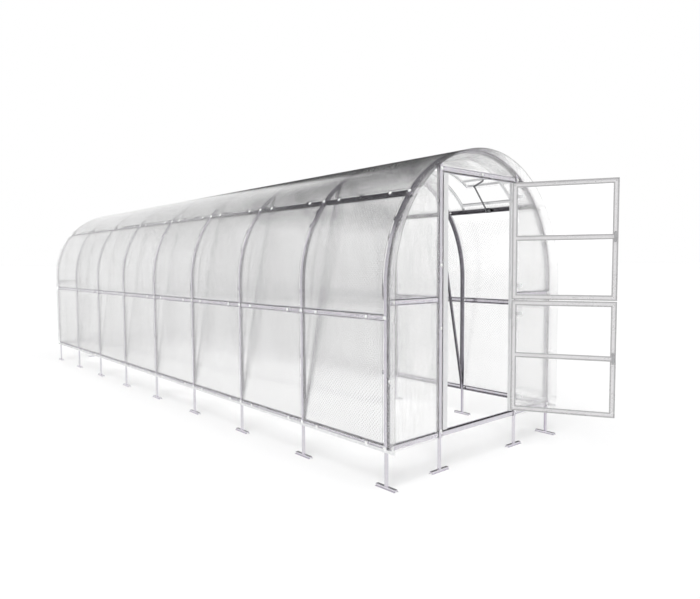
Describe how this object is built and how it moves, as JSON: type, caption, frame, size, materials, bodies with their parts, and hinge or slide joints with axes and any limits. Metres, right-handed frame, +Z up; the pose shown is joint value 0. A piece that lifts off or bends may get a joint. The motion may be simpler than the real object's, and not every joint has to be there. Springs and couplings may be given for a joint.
{
  "type": "polytunnel greenhouse",
  "caption": "Long arched greenhouse on ground anchors, with a galvanised steel frame, clear twin-wall sheets, an open split door and a roof vent.",
  "frame": {"origin": "on the ground, at the middle of the whole part's box with the door leaves open", "axes": "+X across the tunnel towards the hinge side of the door, +Y from the door end to the back end, +Z up"},
  "size_m": [2.194, 8.9004, 2.5615],
  "materials": {
    "galvanised_steel": "galvanised, slightly dull",
    "door_steel": "galvanised, slightly dull",
    "fittings": "zinc plated",
    "cover_sheet": "clear twin-wall polycarbonate",
    "wall_sheet": "clear twin-wall polycarbonate",
    "door_sheet": "clear twin-wall polycarbonate"
  },
  "bodies": {
    "tunnel": {"arch_1": "galvanised_steel", "arch_2": "galvanised_steel", "arch_3": "galvanised_steel", "arch_4": "galvanised_steel", "arch_5": "galvanised_steel", "arch_6": "galvanised_steel", "arch_7": "galvanised_steel", "arch_8": "galvanised_steel", "arch_9": "galvanised_steel", "back_left_panel": "wall_sheet", "back_middle_panel": "wall_sheet", "back_post_anchors": "galvanised_steel", "back_posts": "galvanised_steel", "back_right_panel": "wall_sheet", "back_wall_rails": "galvanised_steel", "cover_sheet_1": "cover_sheet", "cover_sheet_2": "cover_sheet", "cover_sheet_3": "cover_sheet", "cover_sheet_4": "cover_sheet", "door_hinges": "fittings", "door_jambs": "galvanised_steel", "front_left_panel": "wall_sheet", "front_post_anchors": "galvanised_steel", "front_posts": "galvanised_steel", "front_right_panel": "wall_sheet", "front_top_panel": "wall_sheet", "front_wall_rails": "galvanised_steel", "left_base_rails": "galvanised_steel", "left_ground_anchors": "galvanised_steel", "left_mid_rails": "galvanised_steel", "left_struts": "galvanised_steel", "left_upper_rails": "galvanised_steel", "right_base_rails": "galvanised_steel", "right_ground_anchors": "galvanised_steel", "right_mid_rails": "galvanised_steel", "right_struts": "galvanised_steel", "right_upper_rails": "galvanised_steel", "roof_vent_flap": "cover_sheet", "roof_vent_flap_frame": "galvanised_steel", "roof_vent_frame": "galvanised_steel", "roof_vent_opener": "fittings"},
    "upper_leaf": {"upper_leaf_frame": "door_steel", "upper_leaf_latch": "fittings", "upper_leaf_sheet": "door_sheet", "upper_leaf_straps": "fittings"},
    "lower_leaf": {"lower_leaf_frame": "door_steel", "lower_leaf_latch": "fittings", "lower_leaf_sheet": "door_sheet", "lower_leaf_straps": "fittings"}
  },
  "joints": [
    {"name": "upper_door_hinge", "type": "hinge", "parent": "tunnel", "child": "upper_leaf", "pos_m": [0.423, -3.69729, 1.822], "axis": [0, 0, 1], "range_deg": [-117.6, 30]},
    {"name": "lower_door_hinge", "type": "hinge", "parent": "tunnel", "child": "lower_leaf", "pos_m": [0.423, -3.69729, 0.82], "axis": [0, 0, 1], "range_deg": [-117.6, 30]}
  ]
}
